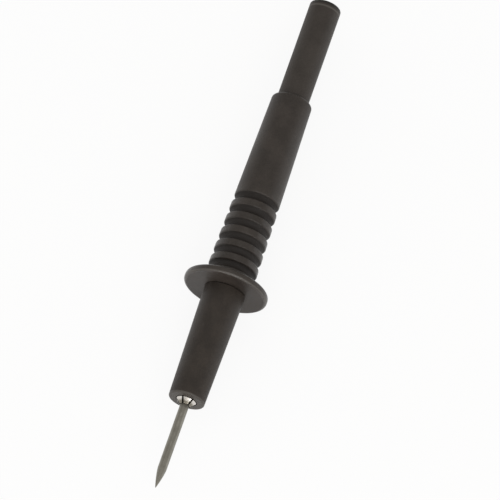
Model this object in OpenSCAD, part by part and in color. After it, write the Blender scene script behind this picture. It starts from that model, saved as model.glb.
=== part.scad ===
// Needle test probe with a collet chuck, a round finger guard and a 4 mm lead socket.
// The probe lies along X with its point towards +X. The origin is the centre of the
// mouth of the metal 4 mm contact. Every turned or moulded piece is one profile, drawn
// as [radius, x] and revolved about the X axis.

/* [Handle] */
// Length of the handle, from the shoulder at the lead end to the finger guard
grip_len = 54.2; // [50:0.05:75]
// Diameter of the handle at the shoulder
grip_d_rear = 10.55; // [10:0.05:11.5]
// Diameter of the handle at the finger guard
grip_d_front = 12.85; // [12:0.05:15]
// Radius of the shoulder's rounded edge
shoulder_r = 0.7; // [0.4:0.05:1.1]
// Number of finger grooves
groove_count = 6; // [4:1:9]
// Distance from one groove to the next
groove_pitch = 4; // [3.6:0.1:4.6]
// Distance from the finger guard to the middle of the first groove
groove_start = 3.35; // [3:0.05:6]
// Radius of a groove's round bottom
groove_r = 1.15; // [0.9:0.05:1.25]
// Depth of a groove
groove_depth = 0.85; // [0.4:0.05:0.85]
// Rounding of a groove's two edges
groove_edge_r = 0.3; // [0.1:0.05:0.35]
// Thickness of the web that the tie screw pulls against
web_t = 4; // [3:0.1:8]

/* [Finger guard] */
// Outer diameter of the guard disc
guard_d = 21.7; // [18:0.1:28]
// Thickness of the guard disc
guard_t = 1.85; // [1.6:0.05:3]
// Rounding of the disc's rim
guard_edge_r = 0.7; // [0.2:0.05:0.75]

/* [Nose sleeve] */
// Length of the nose, from the finger guard to its front end
nose_len = 31.3; // [31:0.05:40]
// Diameter of the nose at the finger guard
nose_d_rear = 10.55; // [10.2:0.05:12]
// Diameter of the nose at its front end
nose_d_front = 9.25; // [9:0.05:10]
// Rounding of the front edge
nose_edge_r = 0.4; // [0.3:0.05:1]
// Thickness of the inner lip that pushes the closing ring
lip_t = 1.1; // [0.8:0.05:1.8]
// Radial gap between the lip and the jaws
lip_gap = 0.2; // [0.1:0.05:0.3]
// Open gap between the finger guard and the nose
nose_gap = 0.25; // [0.15:0.05:0.4]
// Rear wall of the nose behind the brass insert
insert_cover = 0.7; // [0.5:0.05:1.2]
// Radial gap between that wall and the chuck's thread
cover_gap = 0.25; // [0.1:0.05:0.4]
// Length of the brass thread insert
insert_len = 7.5; // [5:0.1:8]
// Wall of the brass thread insert
insert_wall = 0.75; // [0.6:0.05:0.8]

/* [Needle] */
// Diameter of the needle's working part
needle_d = 2.3; // [2:0.05:2.4]
// Length that stands out of the nose
needle_out = 24.6; // [15:0.05:40]
// Length of the ground point
point_len = 5.2; // [3:0.1:9]
// Radius of the point's convex side, seen from the side
point_side_r = 30; // [25:1:60]
// Radius of the blunted very tip
point_tip_r = 0.06; // [0.04:0.01:0.15]
// Diameter of the shank in the collet
shank_d = 1.7; // [1.5:0.05:1.75]
// Length of the shank in the collet
shank_len = 21.4; // [16:0.1:21.5]
// Bevel round the rear end of the shank
shank_bevel = 0.2; // [0.1:0.05:0.3]
// Gap between the needle's shoulder and the jaws
shoulder_gap = 0.05; // [0.03:0.01:0.1]

/* [Collet] */
// Diameter of the jaws where they leave the nose
jaw_tip_d = 5.1; // [4.6:0.05:5.1]
// Distance that this part of the jaws stands out of the nose
jaw_out = 0.1; // [0:0.05:0.8]
// Length of the jaws' conical point in front of it
jaw_point_len = 1.25; // [0.8:0.05:1.6]
// Diameter of that point at the needle
jaw_point_d = 2.8; // [2.6:0.05:3.6]
// Diameter of the thick end of the jaws' cone
jaw_head_d = 6.2; // [5.8:0.05:6.3]
// Length of the jaws' cone
jaw_cone_len = 4.8; // [4:0.1:6]
// Straight part between the jaws' cone and their point
jaw_nose_len = 1; // [0.9:0.05:1.6]
// Straight part behind the jaws' cone
jaw_land_len = 0.6; // [0.4:0.05:1]
// Rounding of the conical point's end
jaw_edge_r = 0.2; // [0.1:0.05:0.3]
// Diameter of the springy neck behind the jaws
neck_d = 4.4; // [4:0.05:4.8]
// Length of the jaws' bore that grips the shank
grip_bore_len = 9; // [6:0.1:10]
// Radial step from that bore to the wider one behind it
relief_step = 0.25; // [0.15:0.05:0.35]
// Number of jaws
jaw_count = 6; // [4:2:6]
// Width of the saw cuts between the jaws
slot_w = 0.45; // [0.3:0.05:0.8]
// Length of the saw cuts
slot_len = 17.5; // [14:0.1:18]
// Turn of the jaws about the probe's axis, in degrees
jaw_turn = 19; // [0:1:45]
// Diameter of the collet's screwed tail
tail_d = 5; // [4.6:0.05:5.2]
// Length of the collet's screwed tail
tail_len = 11; // [8:0.1:13]
// Diameter of the collet's seating collar
collar_d = 6; // [5.6:0.05:6.3]
// Thickness of the collet's seating collar
collar_t = 1.2; // [0.8:0.05:2]
// Distance across the collar's two spanner flats
collar_flats = 5.3; // [5.2:0.05:5.6]

/* [Chuck body] */
// Outer diameter of the thread that carries the nose
thread_d = 7; // [6.8:0.05:7.1]
// Outer diameter of the part in the handle
body_d = 6.5; // [6:0.05:6.6]
// Length of the part in the handle
body_len = 18; // [16:0.1:22]
// Length of thread that stands out in front of the nose's insert
thread_lead = 1; // [0.5:0.1:1.5]
// Depth of the bore for the collet's tail, counted from the front
tail_bore_len = 15; // [14:0.1:15.5]
// Length of the tapped hole for the tie screw
tap_len = 9.5; // [8:0.1:10]
// Diameter of the clamping flange
flange_d = 9; // [8.6:0.05:9.4]
// Thickness of the clamping flange
flange_t = 1; // [0.8:0.05:1]
// Length of the undercut behind the thread
undercut_len = 1.1; // [0.6:0.05:1.5]
// Depth of the undercut behind the thread
undercut_depth = 0.45; // [0.3:0.05:0.5]
// Rounding of the turned ends of the core and of the tie screw
turned_edge_r = 0.3; // [0.1:0.05:0.4]

/* [Closing ring] */
// Wall of the ring at its thin end
ring_wall = 0.35; // [0.3:0.05:0.4]
// Distance from the back of the jaws' cone to the back of the ring
ring_inset = 0.2; // [0:0.05:0.6]
// Rounding of the ring's front edge
ring_edge_r = 0.15; // [0.05:0.05:0.25]

/* [Lead socket] */
// Diameter of the plug that the socket takes
plug_d = 4; // [3.9:0.05:4.1]
// Depth of the metal bore
plug_depth = 22; // [18:0.5:22]
// Wall of the metal contact
contact_wall = 0.95; // [0.8:0.05:1]
// Distance from the mouth of the insulating tube to the metal
mouth_recess = 2.5; // [2:0.1:4]
// Diameter of the hole in the insulating tube's end
mouth_d = 4.6; // [4.4:0.05:5]
// Bevel of that hole
mouth_bevel = 0.5; // [0.2:0.05:0.6]
// Outer diameter of the insulating tube
stub_d = 8.2; // [7.8:0.05:8.2]
// Length of the insulating tube behind the handle
stub_len = 28.65; // [27:0.05:30]
// Length of the insulating tube inside the handle
stub_seat_len = 8; // [7:0.1:12]
// Rounding of the insulating tube's outer end
stub_edge_r = 0.6; // [0.2:0.05:0.8]
// Height of the step that stops the tube at the handle's end
stub_step = 0.2; // [0.15:0.05:0.25]
// Height of the snap bead that holds the insulating tube
bead_h = 0.25; // [0.15:0.05:0.3]
// Radius of the snap bead's section
bead_r = 0.5; // [0.4:0.05:0.8]
// Distance from the handle's shoulder to the bead
bead_at = 4; // [3:0.1:5]
// Thickness of the contact's clamping flange
contact_flange_t = 1.5; // [1:0.1:3]
// Rounding of the inner ends of the tube and of the contact
seat_edge_r = 0.2; // [0.1:0.05:0.3]

/* [Tie screw] */
// Diameter of the tie screw
screw_d = 2.5; // [2:0.05:2.6]
// Diameter of its head
screw_head_d = 3.4; // [3.2:0.05:3.5]
// Height of its head
screw_head_h = 1.8; // [1.5:0.05:2]
// Rounding of its head
screw_head_r = 0.2; // [0.1:0.05:0.3]
// Room behind its head, in front of the plug
head_room = 0.3; // [0.1:0.05:0.5]
// Width of the driver slot
driver_slot_w = 0.6; // [0.4:0.05:0.8]
// Depth of the driver slot
driver_slot_depth = 0.9; // [0.5:0.05:1]
// Length of thread in the chuck body
screw_grip = 8; // [6:0.1:8]
// Thickness of the spring washer under the head
washer_t = 0.5; // [0.3:0.05:0.6]
// Gap of the split in the spring washer
washer_split = 0.35; // [0.2:0.05:0.5]

/* [Fits] */
// Radial clearance of pieces that turn or slide in each other
run_clear = 0.05; // [0.02:0.01:0.08]
// Radial clearance of pieces that are pushed together once
seat_clear = 0.03; // [0.02:0.01:0.05]
// Radial clearance of the tie screw in the web and in the contact, and of the contact's flange
pass_clear = 0.2; // [0.1:0.05:0.25]
// Radial clearance of the needle's shank in the jaws
grip_clear = 0.02; // [0.01:0.01:0.03]

/* [Hidden] */
fine = 128;
arc = 48;
long_arc = 1440;
// How far a cut reaches past a face, and how far joined shapes reach into each other
over = 1;
lap = 0.3;
// How far a sloping side ends inside the arcs that round it
hair = 0.0005;

// Stations along the probe
tube_end = -mouth_recess;
shoulder_x = tube_end + stub_len;
tube_seat = shoulder_x + stub_seat_len;
web_x = tube_seat + contact_flange_t;
guard_x = shoulder_x + grip_len;
guard_front = guard_x + guard_t;
nose_x = guard_front + nose_gap;
nose_end = guard_front + nose_len;
needle_tip = nose_end + needle_out;
flange_x = guard_front - flange_t;
body_x = guard_x - body_len;

// Lead socket
contact_d = plug_d + 2 * contact_wall;
tube_bore_d = contact_d + 2 * seat_clear;
seat_d = stub_d - 2 * stub_step;
tube_hole_d = seat_d + 2 * seat_clear;
contact_flange_d = seat_d - 2 * pass_clear;
bead_mid_r = seat_d / 2 + bead_h - bead_r;
head_pocket_d = screw_head_d + 4 * run_clear;
washer_x = plug_depth + head_room + screw_head_h;
contact_floor = washer_x + washer_t;
bead_x = shoulder_x + bead_at;

// Chuck
tail_bore_d = tail_d + 2 * seat_clear;
handle_bore_d = body_d + 2 * seat_clear;
insert_x = nose_x + insert_cover;
insert_d = thread_d + 2 * run_clear + 2 * insert_wall;
insert_end = insert_x + insert_len;
thread_end = insert_end + thread_lead;
jaw_base = nose_end + jaw_out;
jaw_face = jaw_base + jaw_point_len;
cone_front = jaw_base - jaw_nose_len;
cone_back = cone_front - jaw_cone_len;
cone_slope = (jaw_head_d - jaw_tip_d) / 2 / jaw_cone_len;
ring_front = nose_end - lip_t;
ring_back = cone_back + ring_inset;
ring_d = jaw_head_d + 2 * ring_wall + 2 * run_clear;
sleeve_bore_d = ring_d + 2 * run_clear;
lip_d = jaw_tip_d + 2 * lip_gap;
needle_seat = jaw_face + shoulder_gap;
shank_end = needle_seat - shank_len;
grip_bore_d = shank_d + 2 * grip_clear;
relief_d = shank_d + 2 * relief_step;
slot_back = jaw_base - slot_len;

// Everything is turned about the X axis
module lathe() rotate([0, 90, 0]) rotate_extrude($fn = fine) children();

// Rectangle of a profile, from radius a to b and from x = from to x = to
module band(a, b, from, to) translate([a, from]) square([b - a, to - from]);

// Half outline of a straight or tapered bar whose ends at x0 and x1 can be rounded. A
// sloping side ends a hair inside the two arcs, so that it meets each in one clean corner.
module bar(x0, d0, x1, d1, e0 = 0, e1 = 0) translate([0, x0]) {
  len = x1 - x0;
  slope = (d1 - d0) / 2 / len;
  lean = sqrt(1 + slope * slope);
  mid0 = [d0 / 2 + slope * e0 - e0 * lean, e0];
  mid1 = [d1 / 2 - slope * e1 - e1 * lean, len - e1];
  tuck = slope == 0 ? 0 : hair;
  edge0 = mid0 + (e0 - tuck) / lean * [1, -slope];
  edge1 = mid1 + (e1 - tuck) / lean * [1, -slope];
  low = e0 > 0 ? [[mid0[0], 0], mid0, edge0] : [[d0 / 2, 0]];
  high = e1 > 0 ? [edge1, mid1, [mid1[0], len]] : [[d1 / 2, len]];
  polygon(concat([[0, 0]], low, high, [[0, len]]));
  if (e0 > 0) translate(mid0) circle(e0, $fn = arc);
  if (e1 > 0) translate(mid1) circle(e1, $fn = arc);
}

// Cutter for one round-bottomed groove, with its edges rounded over. The surface that it
// cuts lies on the local Y axis and faces +X.
module groove_cutter() {
  centre = groove_r - groove_depth;
  reach = sqrt(pow(groove_r + groove_edge_r, 2) - pow(centre + groove_edge_r, 2));
  difference() {
    polygon([[-groove_edge_r, -reach], [over, -reach], [over, reach],
             [-groove_edge_r, reach], [centre, 0]]);
    for (side = [-1, 1]) translate([-groove_edge_r, side * reach]) circle(groove_edge_r, $fn = arc);
  }
  translate([centre, 0]) circle(groove_r, $fn = arc);
}

// Moulded handle: tapered, with six finger grooves next to the guard
module handle() color([0.22, 0.2, 0.18]) {
  slope = (grip_d_front - grip_d_rear) / 2 / grip_len;
  edge = min(shoulder_r, (grip_d_rear - stub_d) / 2 - seat_clear);
  lathe() difference() {
    bar(shoulder_x, grip_d_rear, guard_x, grip_d_front, edge, 0);
    for (i = [0 : groove_count - 1]) {
      x = guard_x - groove_start - i * groove_pitch;
      translate([grip_d_front / 2 - slope * (guard_x - x), x]) rotate(-atan(slope)) groove_cutter();
    }
    band(-over, tube_hole_d / 2, shoulder_x - over, web_x);
    translate([bead_mid_r, bead_x]) circle(bead_r + seat_clear, $fn = arc);
    band(-over, screw_d / 2 + pass_clear, web_x - over, web_x + web_t + over);
    band(-over, handle_bore_d / 2, web_x + web_t, guard_x + over);
  }
}

// Round disc that stops the fingers, clamped between the handle and the chuck body
module finger_guard() color([0.26, 0.24, 0.22]) lathe() difference() {
  bar(guard_x, guard_d, guard_front, guard_d, guard_edge_r, guard_edge_r);
  band(-over, handle_bore_d / 2, guard_x - over, guard_front + over);
  band(-over, flange_d / 2 + seat_clear, flange_x, guard_front + over);
}

// Moulded nose: unscrews from the chuck body to free the jaws
module nose_sleeve() color([0.22, 0.2, 0.18]) lathe() difference() {
  bar(nose_x, nose_d_rear, nose_end, nose_d_front, 0, nose_edge_r);
  band(-over, thread_d / 2 + cover_gap, nose_x - over, insert_x + over);
  band(-over, insert_d / 2, insert_x, insert_end);
  band(-over, sleeve_bore_d / 2, insert_end - over, ring_front + run_clear);
  band(-over, lip_d / 2, ring_front - over, nose_end + over);
}

// Knurled brass thread, moulded into the rear of the nose
module thread_insert() color([0.78, 0.62, 0.3]) lathe() difference() {
  band(0, insert_d / 2, insert_x, insert_end);
  band(-over, thread_d / 2 + run_clear, insert_x - over, insert_end + over);
}

// Hard ring whose inner cone squeezes the jaws as the nose is screwed on
module closing_ring() color([0.75, 0.74, 0.7]) lathe() difference() {
  bar(ring_back, ring_d, ring_front, ring_d, 0, ring_edge_r);
  offset_x = run_clear / cone_slope;
  polygon([[-over, cone_back - over],
           [jaw_head_d / 2 + cone_slope * (over + offset_x), cone_back - over],
           [jaw_tip_d / 2 + cone_slope * offset_x, cone_front],
           [jaw_tip_d / 2 + cone_slope * offset_x, ring_front + over],
           [-over, ring_front + over]]);
}

// One-piece collet: screwed tail, collar with spanner flats, springy neck and jaws
module collet() color([0.86, 0.83, 0.78]) {
  seat = thread_end;
  neck_x = seat + collar_t;
  land_x = cone_back - jaw_land_len;
  flare_x = land_x - (jaw_head_d - neck_d) / 2;
  bore_x = shank_end - shoulder_gap;
  difference() {
    lathe() difference() {
      union() {
        band(0, tail_d / 2, seat - tail_len, seat + collar_t / 2);
        band(0, collar_d / 2, seat, neck_x);
        band(0, neck_d / 2, seat, cone_back);
        polygon([[0, flare_x], [neck_d / 2, flare_x], [jaw_head_d / 2, land_x],
                 [jaw_head_d / 2, cone_back], [jaw_tip_d / 2, cone_front], [0, cone_front]]);
        band(0, jaw_tip_d / 2, cone_front - lap, jaw_base);
        bar(jaw_base, jaw_tip_d, jaw_face, jaw_point_d, 0, jaw_edge_r);
      }
      band(-over, grip_bore_d / 2, bore_x, jaw_face + over);
      band(-over, relief_d / 2, bore_x, jaw_base - grip_bore_len);
    }
    for (i = [0 : jaw_count / 2 - 1]) rotate([jaw_turn + (i + 0.5) * 360 / jaw_count, 0, 0]) {
      translate([slot_back, -jaw_head_d, -slot_w / 2])
        cube([jaw_face + over - slot_back, 2 * jaw_head_d, slot_w]);
      translate([slot_back, 0, 0]) rotate([90, 0, 0])
        cylinder(d = 2 * slot_w, h = 2 * jaw_head_d, center = true, $fn = arc);
    }
    for (side = [0, 180]) rotate([side, 0, 0])
      translate([seat, -collar_d, collar_flats / 2]) cube([collar_t, 2 * collar_d, collar_d]);
  }
}

// Steel needle: thin shank in the collet, shoulder on the jaws, ground convex point
module needle() color([0.55, 0.54, 0.48]) {
  base_r = needle_d / 2;
  rise = base_r - point_tip_r;
  chord = sqrt(point_len * point_len + rise * rise);
  sag = sqrt(point_side_r * point_side_r - chord * chord / 4);
  middle = [(base_r + point_tip_r) / 2, needle_tip - point_len / 2];
  centre = middle - sag / chord * [point_len, rise];
  bevel_end = shank_end + 2 * shank_bevel;
  lathe() {
    bar(shank_end, shank_d - 2 * shank_bevel, bevel_end, shank_d);
    band(0, shank_d / 2, bevel_end, needle_seat + lap);
    band(0, base_r, needle_seat, needle_tip - point_len);
    intersection() {
      band(0, base_r, needle_tip - point_len, needle_tip);
      translate(centre) circle(point_side_r, $fn = long_arc);
    }
  }
}

// Turned metal core: held in the handle by the tie screw, carries the collet and the nose
module chuck_body() color([0.8, 0.78, 0.72]) lathe() difference() {
  union() {
    bar(body_x, body_d, flange_x + flange_t / 2, body_d, turned_edge_r, 0);
    band(0, flange_d / 2, flange_x, guard_front);
    band(0, thread_d / 2 - undercut_depth, flange_x, guard_front + undercut_len + lap);
    bar(guard_front + undercut_len, thread_d, thread_end, thread_d,
        turned_edge_r, turned_edge_r);
  }
  band(-over, tail_bore_d / 2, thread_end - tail_bore_len, thread_end + over);
  band(-over, screw_d / 2 + seat_clear, body_x - over, body_x + tap_len);
}

// Long slotted screw that draws the socket contact and the chuck body together
module tie_screw() color([0.76, 0.63, 0.36]) difference() {
  head_x = washer_x - screw_head_h;
  lathe() {
    bar(head_x, screw_head_d, washer_x, screw_head_d, screw_head_r, 0);
    bar(washer_x - lap, screw_d, body_x + screw_grip, screw_d, 0, turned_edge_r);
  }
  translate([head_x - over, -screw_head_d, -driver_slot_w / 2])
    cube([driver_slot_depth + over, 2 * screw_head_d, driver_slot_w]);
}

// Split spring washer under the head of the tie screw
module spring_washer() color([0.6, 0.6, 0.6]) difference() {
  lathe() band(screw_d / 2 + run_clear, screw_head_d / 2, washer_x, contact_floor);
  translate([washer_x - over, -washer_split / 2, 0])
    cube([washer_t + 2 * over, washer_split, screw_head_d]);
}

// Metal contact that takes the 4 mm plug, with a flange against the handle's web
module socket_contact() color([0.82, 0.79, 0.72]) lathe() difference() {
  union() {
    band(0, contact_d / 2, 0, web_x);
    bar(tube_seat, contact_flange_d, web_x, contact_flange_d, 0, seat_edge_r);
  }
  band(-over, plug_d / 2, -over, plug_depth);
  band(-over, head_pocket_d / 2, plug_depth - over, contact_floor);
  band(-over, screw_d / 2 + pass_clear, contact_floor - over, web_x + over);
}

// Insulating tube round the contact, snapped into the rear of the handle
module socket_tube() color([0.25, 0.23, 0.21]) lathe() difference() {
  union() {
    bar(tube_end, stub_d, shoulder_x, stub_d, stub_edge_r, 0);
    bar(shoulder_x - over, seat_d, tube_seat, seat_d, 0, seat_edge_r);
    translate([bead_mid_r, bead_x]) circle(bead_r, $fn = arc);
  }
  band(-over, tube_bore_d / 2, 0, tube_seat + over);
  band(-over, mouth_d / 2, tube_end - over, over);
  bar(tube_end - mouth_bevel, mouth_d + 4 * mouth_bevel, tube_end + mouth_bevel, mouth_d);
}

handle();
finger_guard();
nose_sleeve();
thread_insert();
closing_ring();
collet();
needle();
chuck_body();
tie_screw();
spring_washer();
socket_contact();
socket_tube();
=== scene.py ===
import math

import bpy
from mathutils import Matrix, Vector


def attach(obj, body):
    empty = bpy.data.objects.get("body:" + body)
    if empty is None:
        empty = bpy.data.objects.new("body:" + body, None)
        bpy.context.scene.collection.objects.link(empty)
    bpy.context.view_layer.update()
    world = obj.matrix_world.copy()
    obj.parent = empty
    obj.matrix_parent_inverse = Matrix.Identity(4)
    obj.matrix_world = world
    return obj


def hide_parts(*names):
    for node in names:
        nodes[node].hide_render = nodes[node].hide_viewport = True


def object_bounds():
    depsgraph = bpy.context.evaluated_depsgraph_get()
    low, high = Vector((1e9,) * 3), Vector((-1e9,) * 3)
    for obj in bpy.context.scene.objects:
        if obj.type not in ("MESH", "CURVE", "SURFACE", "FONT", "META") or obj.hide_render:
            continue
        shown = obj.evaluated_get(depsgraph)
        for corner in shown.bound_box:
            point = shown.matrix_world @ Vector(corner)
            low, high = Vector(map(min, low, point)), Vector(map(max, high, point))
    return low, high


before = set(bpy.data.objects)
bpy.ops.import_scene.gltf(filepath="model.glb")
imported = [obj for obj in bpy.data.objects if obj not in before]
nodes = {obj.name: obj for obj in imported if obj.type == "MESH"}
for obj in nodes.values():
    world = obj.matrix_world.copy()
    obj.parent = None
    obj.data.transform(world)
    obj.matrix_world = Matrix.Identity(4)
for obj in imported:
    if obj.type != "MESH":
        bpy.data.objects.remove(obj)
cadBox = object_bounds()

# Needle test probe. It lies along X with its point towards +X, and every length is in metres.
mm = 0.001
scene = bpy.context.scene
scene.view_settings.view_transform = "Standard"
bpy.ops.object.select_all(action="DESELECT")
print("frame loaded,", len(nodes), "nodes")


# Camera

cameraSetup = {
    "azimuth": 107.6,  # degrees round the probe, 0 looks along +Y
    "elevation": 63.68,  # degrees above the floor
    "distance": 1.5,
    "lens": 432,  # a long lens, so the probe hardly narrows with distance
    "aimX": 69.13 * mm,  # the point of the axis near the middle of the view
    "aimRight": 2.33 * mm,
    "aimDown": 0.69 * mm,
}


def makeCamera(setup):
    azimuth, elevation = math.radians(setup["azimuth"]), math.radians(setup["elevation"])
    back = Vector((math.sin(azimuth) * math.cos(elevation),
                   -math.cos(azimuth) * math.cos(elevation),
                   math.sin(elevation)))
    right = Vector((math.cos(azimuth), math.sin(azimuth), 0))
    aim = Vector((setup["aimX"], 0, 0)) + right * setup["aimRight"]
    aim -= back.cross(right) * setup["aimDown"]
    data = bpy.data.cameras.new("camera")
    data.lens = setup["lens"]
    data.clip_start, data.clip_end = 0.05, 60
    camera = bpy.data.objects.new("camera", data)
    scene.collection.objects.link(camera)
    camera.location = aim + back * setup["distance"]
    camera.rotation_mode = "QUATERNION"
    camera.rotation_quaternion = (-back).to_track_quat("-Z", "Y")
    scene.camera = camera


makeCamera(cameraSetup)
print("camera placed")


# Node helpers

def plug(tree, value, socket):
    if isinstance(value, bpy.types.NodeSocket):
        tree.links.new(value, socket)
    else:
        socket.default_value = value


def addNode(tree, kind, inputs=None, **settings):
    node = tree.nodes.new(kind)
    for key, value in settings.items():
        setattr(node, key, value)
    for key, value in (inputs or {}).items():
        plug(tree, value, node.inputs[key])
    return node


def calc(tree, operation, *values):
    node = addNode(tree, "ShaderNodeMath", operation=operation)
    for i, value in enumerate(values):
        plug(tree, value, node.inputs[i])
    return node.outputs[0]


def remap(tree, value, low, high, newLow=0.0, newHigh=1.0, smooth=True):
    node = addNode(tree, "ShaderNodeMapRange",
                   {"Value": value, "From Min": low, "From Max": high,
                    "To Min": newLow, "To Max": newHigh},
                   interpolation_type="SMOOTHSTEP" if smooth else "LINEAR")
    return node.outputs["Result"]


def blendColour(tree, mask, colourA, colourB):
    node = addNode(tree, "ShaderNodeMix", data_type="RGBA")
    plug(tree, mask, node.inputs[0])
    plug(tree, colourA, node.inputs[6])
    plug(tree, colourB, node.inputs[7])
    return node.outputs[2]


def noise(tree, vector, scale, detail=2.0, roughness=0.5):
    node = addNode(tree, "ShaderNodeTexNoise",
                   {"Vector": vector, "Scale": scale, "Detail": detail, "Roughness": roughness})
    return node.outputs[0]


def stretched(tree, vector, along, across):
    node = addNode(tree, "ShaderNodeVectorMath", {0: vector, 1: (along, across, across)},
                   operation="MULTIPLY")
    return node.outputs[0]


def startGroup(name, inputs, outputs):
    tree = bpy.data.node_groups.new(name, "ShaderNodeTree")
    for label, start in inputs.items():
        socket = tree.interface.new_socket(name=label, in_out="INPUT",
                                           socket_type="NodeSocketFloat")
        socket.default_value = start
    for label in outputs:
        tree.interface.new_socket(name=label, in_out="OUTPUT", socket_type="NodeSocketFloat")
    coords = tree.nodes.new("ShaderNodeTexCoord").outputs["Object"]
    return tree, coords, tree.nodes.new("NodeGroupInput").outputs, tree.nodes.new("NodeGroupOutput")


# Finishes that several pieces share, as node groups

def makeMouldSkin():
    tree, coords, given, out = startGroup(
        "mouldSkin", {"Grain": 0.2 * mm, "Blotch": 6 * mm}, ["Height", "Blotches", "Cloud"])
    fineShare = 0.7  # the rest of the height is pits
    fine = noise(tree, coords, calc(tree, "DIVIDE", 1.0, given["Grain"]), detail=3.0, roughness=0.6)
    pits = addNode(tree, "ShaderNodeTexVoronoi",
                   {"Vector": coords, "Scale": calc(tree, "DIVIDE", 0.5, given["Grain"])},
                   feature="SMOOTH_F1")
    eroded = calc(tree, "ADD", calc(tree, "MULTIPLY", fine, fineShare),
                  calc(tree, "MULTIPLY", pits.outputs["Distance"], 1.0 - fineShare))
    blotches = noise(tree, coords, calc(tree, "DIVIDE", 1.0, given["Blotch"]), detail=4.0,
                     roughness=0.55)
    cloud = noise(tree, coords, calc(tree, "DIVIDE", 0.3, given["Blotch"]), detail=1.0)
    plug(tree, eroded, out.inputs["Height"])
    plug(tree, remap(tree, blotches, low=0.35, high=0.68), out.inputs["Blotches"])
    plug(tree, remap(tree, cloud, low=0.3, high=0.7), out.inputs["Cloud"])
    return tree


def makeEdgeRub():
    # where the surface turns sharply, broken up so that the rubbing isn't an even line
    tree, coords, given, out = startGroup(
        "edgeRub", {"Width": 0.2 * mm, "Spread": 0.12, "Patch": 1.2 * mm}, ["Rub"])
    rounded = addNode(tree, "ShaderNodeBevel", {"Radius": given["Width"]}, samples=6)
    facing = addNode(tree, "ShaderNodeVectorMath",
                     {0: rounded.outputs[0],
                      1: tree.nodes.new("ShaderNodeNewGeometry").outputs["Normal"]},
                     operation="DOT_PRODUCT")
    turn = calc(tree, "SUBTRACT", 1.0, facing.outputs["Value"])
    edge = remap(tree, turn, low=0.006, high=given["Spread"])
    patches = noise(tree, coords, calc(tree, "DIVIDE", 1.0, given["Patch"]), detail=4.0,
                    roughness=0.65)
    worn = calc(tree, "MULTIPLY", edge, remap(tree, patches, low=0.36, high=0.6))
    plug(tree, worn, out.inputs["Rub"])
    return tree


def makeHairlines():
    # sparse fine scratches from use, most of them along the probe
    tree, coords, given, out = startGroup(
        "hairlines", {"Length": 5 * mm, "Width": 0.06 * mm, "Amount": 0.5}, ["Scratch"])
    masks = []
    directions = ((0.0, 0.0, 0.12), (0.0, 0.1, -0.3), (0.2, -0.9, 0.9))  # turned from the axis
    for turn in directions:
        turned = addNode(tree, "ShaderNodeMapping", {"Vector": coords, "Rotation": turn})
        scale = addNode(tree, "ShaderNodeCombineXYZ",
                        {"X": calc(tree, "DIVIDE", 1.0, given["Length"]),
                         "Y": calc(tree, "DIVIDE", 1.0, given["Width"]),
                         "Z": calc(tree, "DIVIDE", 1.0, given["Width"])})
        long = addNode(tree, "ShaderNodeVectorMath", {0: turned.outputs[0], 1: scale.outputs[0]},
                       operation="MULTIPLY")
        lines = noise(tree, long.outputs[0], scale=1.0, detail=1.0)
        masks.append(remap(tree, lines, low=0.69, high=0.76))
    marks = calc(tree, "MAXIMUM", calc(tree, "MAXIMUM", masks[0], masks[1]), masks[2])
    gaps = noise(tree, coords, calc(tree, "DIVIDE", 0.8, given["Length"]), detail=2.0)
    kept = calc(tree, "MULTIPLY", marks, remap(tree, gaps, low=0.4, high=0.62))
    plug(tree, calc(tree, "MULTIPLY", kept, given["Amount"]), out.inputs["Scratch"])
    return tree


def makeToolMarks():
    # rings that a turning tool leaves across the axis, and streaks that grinding leaves along it
    tree, coords, given, out = startGroup(
        "toolMarks", {"Feed": 0.08 * mm, "Streak": 0.07 * mm}, ["Rings", "Streaks", "Stain"])
    squeeze = 0.02  # the marks run fifty times longer than they are wide
    stainSize = 1.6 * mm
    ring = addNode(tree, "ShaderNodeVectorMath", {0: coords}, operation="SCALE")
    plug(tree, calc(tree, "DIVIDE", 1.0, given["Feed"]), ring.inputs["Scale"])
    across = stretched(tree, ring.outputs[0], 1.0, squeeze)
    along = addNode(tree, "ShaderNodeVectorMath", {0: coords}, operation="SCALE")
    plug(tree, calc(tree, "DIVIDE", 1.0, given["Streak"]), along.inputs["Scale"])
    lengthwise = stretched(tree, along.outputs[0], squeeze, 1.0)
    plug(tree, noise(tree, across, scale=1.0, detail=2.0), out.inputs["Rings"])
    plug(tree, noise(tree, lengthwise, scale=1.0, detail=3.0, roughness=0.6), out.inputs["Streaks"])
    stain = noise(tree, coords, 1 / stainSize, detail=5.0, roughness=0.6)
    plug(tree, remap(tree, stain, low=0.38, high=0.66), out.inputs["Stain"])
    return tree


def makeFineDust():
    # specks that lie on what faces up
    tree, coords, given, out = startGroup(
        "fineDust", {"Amount": 0.3, "Speck": 0.12 * mm}, ["Dust"])
    up = addNode(tree, "ShaderNodeSeparateXYZ",
                 {0: tree.nodes.new("ShaderNodeNewGeometry").outputs["Normal"]}).outputs["Z"]
    specks = noise(tree, coords, calc(tree, "DIVIDE", 1.0, given["Speck"]), detail=2.0,
                   roughness=0.7)
    lying = calc(tree, "MULTIPLY", remap(tree, up, low=0.1, high=0.95),
                 remap(tree, specks, low=0.66, high=0.74))
    plug(tree, calc(tree, "MULTIPLY", lying, given["Amount"]), out.inputs["Dust"])
    return tree


finishes = {"mouldSkin": makeMouldSkin(), "edgeRub": makeEdgeRub(), "hairlines": makeHairlines(),
            "toolMarks": makeToolMarks(), "fineDust": makeFineDust()}


def place(tree, finish, **values):
    node = addNode(tree, "ShaderNodeGroup", node_tree=finishes[finish])
    for key, value in values.items():
        node.inputs[key].default_value = value
    return node.outputs


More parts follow.
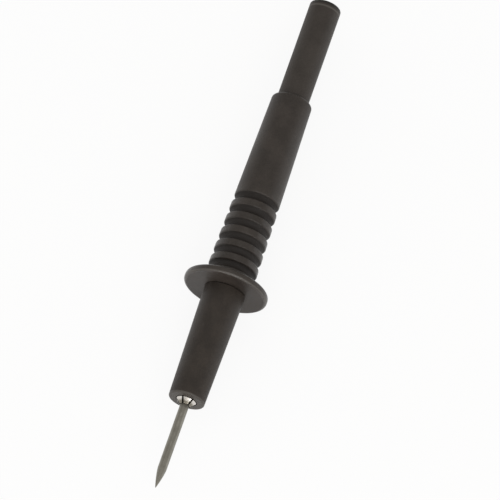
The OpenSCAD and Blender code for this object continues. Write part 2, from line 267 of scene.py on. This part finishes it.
def startMaterial(name):
    material = bpy.data.materials.new(name)
    material.use_nodes = True
    tree = material.node_tree
    tree.nodes.clear()
    shader = tree.nodes.new("ShaderNodeBsdfPrincipled")
    output = tree.nodes.new("ShaderNodeOutputMaterial")
    tree.links.new(shader.outputs[0], output.inputs["Surface"])
    return material, tree, shader


def objectCoords(tree):
    coords = tree.nodes.new("ShaderNodeTexCoord").outputs["Object"]
    return addNode(tree, "ShaderNodeSeparateXYZ", {0: coords}).outputs


def axisRadius(tree):
    # distance from the probe's axis, the place along it, and the height above it
    xyz = objectCoords(tree)
    squares = calc(tree, "ADD", calc(tree, "MULTIPLY", xyz["Y"], xyz["Y"]),
                   calc(tree, "MULTIPLY", xyz["Z"], xyz["Z"]))
    return calc(tree, "SQRT", squares), xyz["X"], xyz["Z"]


def setBump(tree, shader, height, strength, distance):
    bump = addNode(tree, "ShaderNodeBump",
                   {"Height": height, "Strength": strength, "Distance": distance})
    tree.links.new(bump.outputs[0], shader.inputs["Normal"])


def dress(piece, material):
    slots = nodes[piece].material_slots
    for slot in slots:
        slot.material = material
    if not slots:
        nodes[piece].data.materials.append(material)
    print("finish on", piece)


# Black mouldings

# how strongly the shared finishes show on every black moulding
mouldingWear = {
    "pitLow": 0.33, "pitHigh": 0.58,  # heights of the skin that count as pit and as crest
    "rubShade": 0.5, "rubPolish": 0.1, "scratchShade": 0.35, "scratchDepth": 0.6,
    "cloudSpread": 0.04, "blotchDull": 0.05, "bumpDepth": 0.05 * mm,
}


def blackMoulding(name, finish, taper=None):
    wearAndPaintedLight = mouldingWear
    material, tree, shader = startMaterial(name)
    skin = place(tree, "mouldSkin", Grain=finish["grain"], Blotch=finish["blotch"])
    rub = place(tree, "edgeRub", Width=finish["rubWidth"])["Rub"]
    scratch = place(tree, "hairlines", Amount=finish["scratches"])["Scratch"]
    dust = place(tree, "fineDust", Amount=finish["dust"])["Dust"]
    radius, along, height = axisRadius(tree)

    pitted = remap(tree, skin["Height"], wearAndPaintedLight["pitLow"], wearAndPaintedLight["pitHigh"])
    shade = calc(tree, "ADD", calc(tree, "MULTIPLY", skin["Blotches"], 1.0 - finish["pitShare"]),
                 calc(tree, "MULTIPLY", pitted, finish["pitShare"]))
    colour = blendColour(tree, shade, finish["dark"], finish["light"])
    colour = blendColour(tree, calc(tree, "MULTIPLY", rub, wearAndPaintedLight["rubShade"]), colour,
                         finish["rubbedAndHighlight"])
    colour = blendColour(tree, calc(tree, "MULTIPLY", scratch, wearAndPaintedLight["scratchShade"]), colour,
                         finish["rubbedAndHighlight"])
    colour = blendColour(tree, dust, colour, finish["dustColour"])

    rough = remap(tree, skin["Cloud"], 0, 1, finish["roughness"] - wearAndPaintedLight["cloudSpread"],
                  finish["roughness"] + wearAndPaintedLight["cloudSpread"])
    rough = calc(tree, "ADD", rough, calc(tree, "MULTIPLY", skin["Blotches"], wearAndPaintedLight["blotchDull"]))
    rough = calc(tree, "SUBTRACT", rough, calc(tree, "MULTIPLY", rub, wearAndPaintedLight["rubPolish"]))
    # a fine seam where the halves of the mould met
    seam = remap(tree, calc(tree, "ABSOLUTE", height), 0.0, finish["seamWidth"], 1.0, 0.0)
    seam = calc(tree, "MULTIPLY", seam, finish["seamHeight"])
    cuts = calc(tree, "MULTIPLY", scratch, wearAndPaintedLight["scratchDepth"])
    bumpHeight = calc(tree, "SUBTRACT", calc(tree, "ADD", skin["Height"], seam), cuts)

    # the rim is polished, and its colour is blended towards the rim tone: worn lighter on the
    # shoulder and nose, worn lighter with a painted highlight on the guard, and darkened by painted
    # shade at the tube's tail
    rim = finish["rim"]
    onRim = remap(tree, along if rim["measure"] == "along" else radius, rim["start"], rim["end"])
    rough = calc(tree, "SUBTRACT", rough, calc(tree, "MULTIPLY", onRim, rim["polish"]))
    colour = blendColour(tree, calc(tree, "MULTIPLY", onRim, rim["wearAndPaintedLight"]), colour, rim["tone"])
    if "ring" in finish:
        # a painted highlight: a pale line painted round an edge in the rubbed colour
        ring = finish["ring"]
        offset = calc(tree, "ABSOLUTE", calc(tree, "SUBTRACT", along, ring["at"]))
        paintedHighlightLine = remap(tree, offset, ring["half"], 0.0, 0.0, ring["wearAndPaintedLight"])
        colour = blendColour(tree, paintedHighlightLine, colour, finish["rubbedAndHighlight"])

    if taper:
        # the crests between the grooves are polished by the fingers, and painted shade darkens the
        # grooves with their depth under the taper
        line = remap(tree, along, taper["startX"], taper["endX"], taper["startRadius"],
                     taper["endRadius"], smooth=False)
        depth = calc(tree, "SUBTRACT", line, radius)
        inGroove = remap(tree, depth, taper["shadeTop"], taper["shadeFloor"])
        gripZone = remap(tree, along, taper["gripX"] - taper["gripFade"],
                         taper["gripX"] + taper["gripFade"])
        polished = calc(tree, "MULTIPLY", gripZone, calc(tree, "SUBTRACT", 1.0, inGroove))
        rough = calc(tree, "SUBTRACT", rough, calc(tree, "MULTIPLY", polished, taper["polish"]))
        rough = calc(tree, "ADD", rough, calc(tree, "MULTIPLY", inGroove, taper["grooveDull"]))
        # painted shade: the colour in the grooves is blended towards a near-black
        grooveShadeMask = calc(tree, "MULTIPLY", inGroove, taper["grooveShade"])
        colour = blendColour(tree, grooveShadeMask, colour, taper["grooveShadeColour"])

    plug(tree, colour, shader.inputs["Base Color"])
    plug(tree, rough, shader.inputs["Roughness"])
    shader.inputs["Specular IOR Level"].default_value = finish["gloss"]
    setBump(tree, shader, bumpHeight, finish["bump"], wearAndPaintedLight["bumpDepth"])
    return material


handleFinish = {
    "dark": (0.0175, 0.0125, 0.0089, 1), "light": (0.0385, 0.0299, 0.0240, 1),
    "rubbedAndHighlight": (0.085, 0.077, 0.068, 1), "dustColour": (0.30, 0.28, 0.25, 1),
    "roughness": 0.46, "gloss": 0.4,
    "grain": 0.18 * mm, "blotch": 5 * mm, "pitShare": 0.45, "bump": 0.8,
    "rubWidth": 0.22 * mm, "scratches": 0.6, "dust": 0.10,
    "seamWidth": 0.07 * mm, "seamHeight": 0.6,
    # the shoulder's edge is worn smooth
    "rim": {"measure": "along", "start": 27.2 * mm, "end": 26.2 * mm, "polish": 0.12, "wearAndPaintedLight": 0.1,
            "tone": (0.085, 0.077, 0.068, 1)},
}
handleTaper = {
    "startX": 26.15 * mm, "endX": 80.35 * mm, "startRadius": 5.275 * mm, "endRadius": 6.425 * mm,
    "gripX": 55 * mm, "gripFade": 2 * mm, "polish": 0.14,
    # painted groove shade starts at one depth under the taper and is full at the other
    "shadeTop": 0.10 * mm, "shadeFloor": 0.40 * mm,
    "grooveShade": 0.84, "grooveDull": 0.22, "grooveShadeColour": (0.009, 0.0062, 0.0045, 1),
}
dress("handle", blackMoulding("handleBlack", handleFinish, handleTaper))

guardFinish = dict(
    handleFinish, roughness=0.48, gloss=0.35, grain=0.12 * mm, rubWidth=0.25 * mm, scratches=0.5,
    dark=(0.0163, 0.0119, 0.0089, 1), light=(0.0358, 0.0277, 0.0223, 1),
    # the guard's lighter rim tone is partly edge wear and partly a painted highlight
    rim={"measure": "radius", "start": 10.0 * mm, "end": 10.35 * mm, "polish": 0.28, "wearAndPaintedLight": 0.08,
         "tone": (0.11, 0.10, 0.088, 1)},
    # painted highlight line along the guard's front rim
    ring={"at": 81.93 * mm, "half": 0.30 * mm, "wearAndPaintedLight": 0.75},
)
dress("finger_guard", blackMoulding("guardBlack", guardFinish))

noseFinish = dict(
    handleFinish, roughness=0.50, gloss=0.32, blotch=4 * mm, scratches=0.8,
    dark=(0.0170, 0.0124, 0.0092, 1), light=(0.0360, 0.0277, 0.0214, 1),
    rim={"measure": "along", "start": 112.9 * mm, "end": 113.2 * mm, "polish": 0.15, "wearAndPaintedLight": 0.25,
         "tone": (0.085, 0.077, 0.068, 1)},
    # painted highlight along the nose's front edge
    ring={"at": 113.25 * mm, "half": 0.30 * mm, "wearAndPaintedLight": 0.5},
)
dress("nose_sleeve", blackMoulding("noseBlack", noseFinish))

tubeFinish = dict(
    handleFinish, roughness=0.52, gloss=0.32, blotch=7 * mm, scratches=0.5,
    dark=(0.0240, 0.0187, 0.0147, 1), light=(0.0450, 0.0369, 0.0311, 1),
    # painted shade: the dark rim tone paints the shaded face of the tail's rounded end
    rim={"measure": "along", "start": -1.25 * mm, "end": -1.8 * mm, "polish": 0.1, "wearAndPaintedLight": 0.8,
         "tone": (0.009, 0.0065, 0.005, 1)},
    # painted highlight arc just inside the tail's rim
    ring={"at": -0.88 * mm, "half": 0.42 * mm, "wearAndPaintedLight": 0.9},
)
dress("socket_tube", blackMoulding("tubeBlack", tubeFinish))


# Metal pieces

def cutDistance(tree, turns):
    # distance from the nearest of the saw cuts between the jaws
    xyz = objectCoords(tree)
    nearest = 1.0  # further than any point of the collet
    for turn in turns:
        upright = calc(tree, "MULTIPLY", xyz["Z"], math.cos(math.radians(turn)))
        sideways = calc(tree, "MULTIPLY", xyz["Y"], math.sin(math.radians(turn)))
        offset = calc(tree, "ABSOLUTE", calc(tree, "SUBTRACT", upright, sideways))
        nearest = calc(tree, "MINIMUM", nearest, offset)
    return nearest


# how strongly the shared finishes show on every metal piece
metalWear = {
    "grainLow": 0.3, "grainHigh": 0.7,  # noise values that take the dark and the light colour
    "rubPatch": 0.6 * mm, "rubShade": 0.7, "rubPolish": 0.08,
    "scratchLength": 2.5 * mm, "scratchWidth": 0.04 * mm, "scratchPolish": 0.1, "scratchDepth": 0.5,
    "cleanShine": 0.05, "stainDull": 0.07, "bumpDepth": 0.03 * mm,
}


def bareMetal(name, finish):
    wearAndPaintedLight = metalWear
    material, tree, shader = startMaterial(name)
    marks = place(tree, "toolMarks", Feed=finish["feed"], Streak=finish["streak"])
    rub = place(tree, "edgeRub", Width=finish["rubWidth"], Patch=wearAndPaintedLight["rubPatch"])["Rub"]
    scratch = place(tree, "hairlines", Amount=finish["scratches"], Length=wearAndPaintedLight["scratchLength"],
                    Width=wearAndPaintedLight["scratchWidth"])["Scratch"]
    grain = marks["Streaks"] if finish["ground"] else marks["Rings"]

    shade = remap(tree, grain, wearAndPaintedLight["grainLow"], wearAndPaintedLight["grainHigh"])
    colour = blendColour(tree, shade, finish["dark"], finish["light"])
    colour = blendColour(tree, calc(tree, "MULTIPLY", marks["Stain"], finish["stain"]), colour,
                         finish["stainColour"])
    colour = blendColour(tree, calc(tree, "MULTIPLY", rub, wearAndPaintedLight["rubShade"]), colour,
                         finish["rubbedAndHighlight"])
    if "rootShade" in finish:
        # painted shade where the needle leaves the jaws, and beside the saw cuts
        rootShade = finish["rootShade"]
        along = axisRadius(tree)[1]
        shadedMask = remap(tree, along, rootShade["start"], rootShade["end"])
        if "cuts" in rootShade:
            beside = remap(tree, cutDistance(tree, rootShade["cuts"]), rootShade["cutEdge"],
                           rootShade["cutFade"], 1.0, 0.0)
            beside = calc(tree, "MULTIPLY", beside,
                          remap(tree, along, rootShade["cutStart"], rootShade["cutFull"]))
            shadedMask = calc(tree, "MAXIMUM", shadedMask, beside)
        shadedMask = calc(tree, "MULTIPLY", shadedMask, rootShade["amount"])
        colour = blendColour(tree, shadedMask, colour, rootShade["colour"])
    rough = remap(tree, marks["Stain"], 0, 1, finish["roughness"] - wearAndPaintedLight["cleanShine"],
                  finish["roughness"] + wearAndPaintedLight["stainDull"])
    rough = calc(tree, "SUBTRACT", rough, calc(tree, "MULTIPLY", rub, wearAndPaintedLight["rubPolish"]))
    rough = calc(tree, "SUBTRACT", rough, calc(tree, "MULTIPLY", scratch, wearAndPaintedLight["scratchPolish"]))
    plug(tree, colour, shader.inputs["Base Color"])
    plug(tree, rough, shader.inputs["Roughness"])
    shader.inputs["Metallic"].default_value = 1.0
    height = calc(tree, "SUBTRACT", grain, calc(tree, "MULTIPLY", scratch, wearAndPaintedLight["scratchDepth"]))
    setBump(tree, shader, height, finish["bump"], wearAndPaintedLight["bumpDepth"])
    return material


needleFinish = {
    "dark": (0.215, 0.205, 0.176, 1), "light": (0.29, 0.278, 0.241, 1),
    "rubbedAndHighlight": (0.52, 0.51, 0.48, 1), "stain": 0.35, "stainColour": (0.19, 0.18, 0.15, 1),
    "roughness": 0.38, "ground": True, "feed": 0.08 * mm, "streak": 0.09 * mm,
    "rubWidth": 0.08 * mm, "scratches": 0.8, "bump": 0.12,
    # painted shade on the needle where it leaves the jaws
    "rootShade": {"start": 116.4 * mm, "end": 115.0 * mm, "amount": 0.6,
              "colour": (0.10, 0.095, 0.08, 1)},
}
dress("needle", bareMetal("needleSteel", needleFinish))

colletFinish = {
    "dark": (0.63, 0.60, 0.56, 1), "light": (0.73, 0.70, 0.66, 1),
    "rubbedAndHighlight": (0.82, 0.80, 0.76, 1), "stain": 0.25, "stainColour": (0.50, 0.46, 0.40, 1),
    "roughness": 0.20, "ground": False, "feed": 0.06 * mm, "streak": 0.07 * mm,
    "rubWidth": 0.08 * mm, "scratches": 0.5, "bump": 0.10,
}
# painted shade on the jaws towards the needle and beside the saw cuts
jawShade = {"start": 113.9 * mm, "end": 114.5 * mm, "amount": 0.88,
            "cuts": (49, 109, 169),  # degrees round the axis
            "cutEdge": 0.26 * mm, "cutFade": 0.56 * mm,
            "cutStart": 113.75 * mm, "cutFull": 114.3 * mm,
            "colour": (0.15, 0.135, 0.10, 1)}
dress("collet", bareMetal("colletNickel", dict(colletFinish, rootShade=jawShade)))

contactFinish = dict(colletFinish, dark=(0.66, 0.62, 0.56, 1), light=(0.76, 0.72, 0.66, 1),
                     roughness=0.24, stain=0.35)
dress("socket_contact", bareMetal("contactNickel", contactFinish))

ringFinish = dict(colletFinish, dark=(0.46, 0.455, 0.44, 1), light=(0.56, 0.55, 0.53, 1),
                  rubbedAndHighlight=(0.70, 0.69, 0.67, 1), stainColour=(0.30, 0.28, 0.25, 1), roughness=0.30)
dress("closing_ring", bareMetal("ringSteel", ringFinish))

insertFinish = dict(colletFinish, dark=(0.66, 0.47, 0.20, 1), light=(0.78, 0.58, 0.28, 1),
                    rubbedAndHighlight=(0.88, 0.70, 0.38, 1), stainColour=(0.42, 0.27, 0.10, 1), roughness=0.30)
dress("thread_insert", bareMetal("insertBrass", insertFinish))

screwFinish = dict(insertFinish, dark=(0.62, 0.46, 0.21, 1), light=(0.74, 0.57, 0.29, 1))
dress("tie_screw", bareMetal("screwBrass", screwFinish))

washerFinish = dict(ringFinish, dark=(0.40, 0.40, 0.41, 1), light=(0.50, 0.50, 0.51, 1))
dress("spring_washer", bareMetal("washerSteel", washerFinish))


# Threaded core: the CAD's core carries its thread as a plain cylinder, so the thread is cut here

coreThread = {
    "startX": 83.4 * mm, "endX": 91.6 * mm, "radius": 3.5 * mm, "pitch": 0.75 * mm,
    "depth": 0.4 * mm, "rootFlat": 0.12 * mm, "mouth": 0.58 * mm, "lift": 0.2 * mm,
    "stepsPerTurn": 60, "weld": 0.002 * mm, "smoothUnder": 25,  # degrees between faces
}
coreFinish = dict(colletFinish, dark=(0.64, 0.61, 0.55, 1), light=(0.74, 0.71, 0.65, 1),
                  roughness=0.26, feed=0.05 * mm, stain=0.3)


def selectWhere(piece, kind, test):
    # picks vertices, edges or faces by where they are
    bpy.ops.object.mode_set(mode="EDIT")
    bpy.ops.mesh.select_mode(type=kind)
    bpy.ops.mesh.select_all(action="DESELECT")
    bpy.ops.object.mode_set(mode="OBJECT")
    mesh = piece.data
    if kind == "VERT":
        for vertex in mesh.vertices:
            vertex.select = test(vertex.co)
    else:
        parts = mesh.edges if kind == "EDGE" else mesh.polygons
        for part in parts:
            part.select = all(test(mesh.vertices[v].co) for v in part.vertices)
    bpy.ops.object.mode_set(mode="EDIT")


def makeGrooveCutter(cut):
    # the section of one thread groove, drawn beside the axis and then wound along it
    turns = math.ceil((cut["endX"] - cut["startX"]) / cut["pitch"]) + 1
    middle = (cut["startX"] - cut["pitch"] / 2, cut["radius"] - cut["depth"] / 2, 0)
    bpy.ops.mesh.primitive_plane_add(size=1, location=middle)
    cutter = bpy.context.object
    cutter.name = cutter.data.name = "groove_cutter"
    bpy.ops.object.mode_set(mode="EDIT")
    bpy.ops.transform.resize(value=(cut["mouth"], cut["depth"], 1), center_override=middle)
    bpy.ops.object.mode_set(mode="OBJECT")
    bpy.ops.object.transform_apply(location=True, rotation=False, scale=False)
    selectWhere(cutter, "VERT", lambda co: co.y < middle[1])
    bpy.ops.transform.resize(value=(cut["rootFlat"] / cut["mouth"], 1, 1), center_override=middle)
    selectWhere(cutter, "EDGE", lambda co: co.y > middle[1])
    bpy.ops.mesh.extrude_region_move(TRANSFORM_OT_translate={"value": (0, cut["lift"], 0)})
    bpy.ops.object.mode_set(mode="OBJECT")
    winding = cutter.modifiers.new("winding", "SCREW")
    winding.axis = "X"
    winding.angle = math.tau
    winding.screw_offset = cut["pitch"]
    winding.iterations = turns
    winding.steps = winding.render_steps = cut["stepsPerTurn"]
    winding.use_smooth_shade = False
    bpy.ops.object.modifier_apply(modifier=winding.name)
    return cutter


def cutCoreThread(cut):
    core = nodes["chuck_body"].copy()
    core.data = nodes["chuck_body"].data.copy()
    core.parent = None
    core.name = core.data.name = "threaded_core"
    scene.collection.objects.link(core)
    bpy.context.view_layer.objects.active = core
    core.select_set(True)
    bpy.ops.object.mode_set(mode="EDIT")
    bpy.ops.mesh.select_all(action="SELECT")
    bpy.ops.mesh.remove_doubles(threshold=cut["weld"])
    bpy.ops.object.mode_set(mode="OBJECT")
    core.select_set(False)
    cutter = makeGrooveCutter(cut)
    cutter.select_set(False)
    core.select_set(True)
    bpy.context.view_layer.objects.active = core
    groove = core.modifiers.new("groove", "BOOLEAN")
    groove.operation = "DIFFERENCE"
    groove.solver = "EXACT"
    groove.object = cutter
    bpy.ops.object.modifier_apply(modifier=groove.name)
    bpy.data.objects.remove(cutter)
    bpy.ops.object.shade_smooth_by_angle(angle=math.radians(cut["smoothUnder"]))
    return core


core = cutCoreThread(coreThread)
core.data.materials.clear()
core.data.materials.append(bareMetal("coreNickel", coreFinish))
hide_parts("chuck_body")
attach(core, "grip")
print("thread cut,", len(core.data.polygons), "faces")


# Studio: a pale floor, a sky that is white near the horizon and grey overhead, and soft boxes

studio = {
    "floorZ": cadBox[0][2],  # the guard's rim rests on it
    "lampAimX": 69 * mm,  # the lamps face this point of the axis
    "floorSize": 30, "floorColour": (0.97, 0.97, 0.97, 1), "floorGlow": 0.88,
    "skyHorizon": (0.97, 0.97, 0.97, 1), "skyTop": (0.70, 0.69, 0.67, 1),
    "skyTurn": (0.0, 0.5),  # sines of the elevations between which white turns grey
    "rearDark": 0.55, "rearTurn": (-0.5, -0.85),  # the sky behind the probe's tail is dimmer
}
# level is the light that a box gives a white surface
softBoxes = {
    "frontStrip": {"towards": (0.978, 0.121, 0.168), "distance": 1.2, "width": 1.1, "height": 0.22,
                   "level": 0.28},
    "keyBox": {"towards": (0.60, 0.25, 0.76), "distance": 1.6, "width": 1.0, "height": 1.0,
               "level": 0.22},
    "sideBox": {"towards": (-0.42, 0.90, 0.08), "distance": 1.6, "width": 1.2, "height": 0.3,
                "level": 0.03},
    "topBox": {"towards": (-0.42, 0.05, 0.90), "distance": 1.6, "width": 0.6, "height": 0.6,
               "level": 0.014},
}


def makeFloor(setup):
    bpy.ops.mesh.primitive_plane_add(size=setup["floorSize"], location=(0, 0, 0))
    floor = bpy.context.object
    floor.name = floor.data.name = "floor"
    floor.location = (0, 0, setup["floorZ"])
    material = bpy.data.materials.new("floorPaper")
    material.use_nodes = True
    tree = material.node_tree
    tree.nodes.clear()
    paper = addNode(tree, "ShaderNodeBsdfDiffuse", {"Color": setup["floorColour"]})
    glow = addNode(tree, "ShaderNodeEmission", {"Strength": 1.0})
    rays = tree.nodes.new("ShaderNodeLightPath").outputs
    seen = calc(tree, "MAXIMUM", rays["Is Camera Ray"], rays["Is Glossy Ray"])
    seen = calc(tree, "MAXIMUM", seen, rays["Is Transmission Ray"])
    mix = addNode(tree, "ShaderNodeMixShader",
                  {0: calc(tree, "MULTIPLY", seen, setup["floorGlow"]),
                   1: paper.outputs[0], 2: glow.outputs[0]})
    output = tree.nodes.new("ShaderNodeOutputMaterial")
    tree.links.new(mix.outputs[0], output.inputs["Surface"])
    floor.data.materials.append(material)


def makeSky(setup):
    world = bpy.data.worlds.new("studioSky")
    scene.world = world
    world.use_nodes = True
    tree = world.node_tree
    tree.nodes.clear()
    direction = tree.nodes.new("ShaderNodeTexCoord").outputs["Generated"]
    rise = addNode(tree, "ShaderNodeSeparateXYZ", {0: direction}).outputs["Z"]
    low, high = setup["skyTurn"]
    colour = blendColour(tree, remap(tree, rise, low, high), setup["skyHorizon"], setup["skyTop"])
    rearwards = addNode(tree, "ShaderNodeSeparateXYZ", {0: direction}).outputs["X"]
    start, full = setup["rearTurn"]
    dim = calc(tree, "MULTIPLY", remap(tree, rearwards, start, full), setup["rearDark"])
    strength = calc(tree, "SUBTRACT", 1.0, dim)
    background = addNode(tree, "ShaderNodeBackground", {"Color": colour, "Strength": strength})
    output = tree.nodes.new("ShaderNodeOutputWorld")
    tree.links.new(background.outputs[0], output.inputs["Surface"])


def makeSoftBoxes(setup, boxes):
    aim = Vector((setup["lampAimX"], 0, 0))
    for name, box in boxes.items():
        data = bpy.data.lights.new(name, "AREA")
        data.shape = "RECTANGLE"
        data.size, data.size_y = box["width"], box["height"]
        data.energy = box["level"] * math.pi ** 2 * box["distance"] ** 2
        lamp = bpy.data.objects.new(name, data)
        scene.collection.objects.link(lamp)
        towards = Vector(box["towards"]).normalized()
        lamp.location = aim + towards * box["distance"]
        lamp.rotation_mode = "QUATERNION"
        lamp.rotation_quaternion = towards.to_track_quat("Z", "Y")
        lamp.visible_camera = False


makeFloor(studio)
makeSky(studio)
makeSoftBoxes(studio, softBoxes)
print("studio lit")
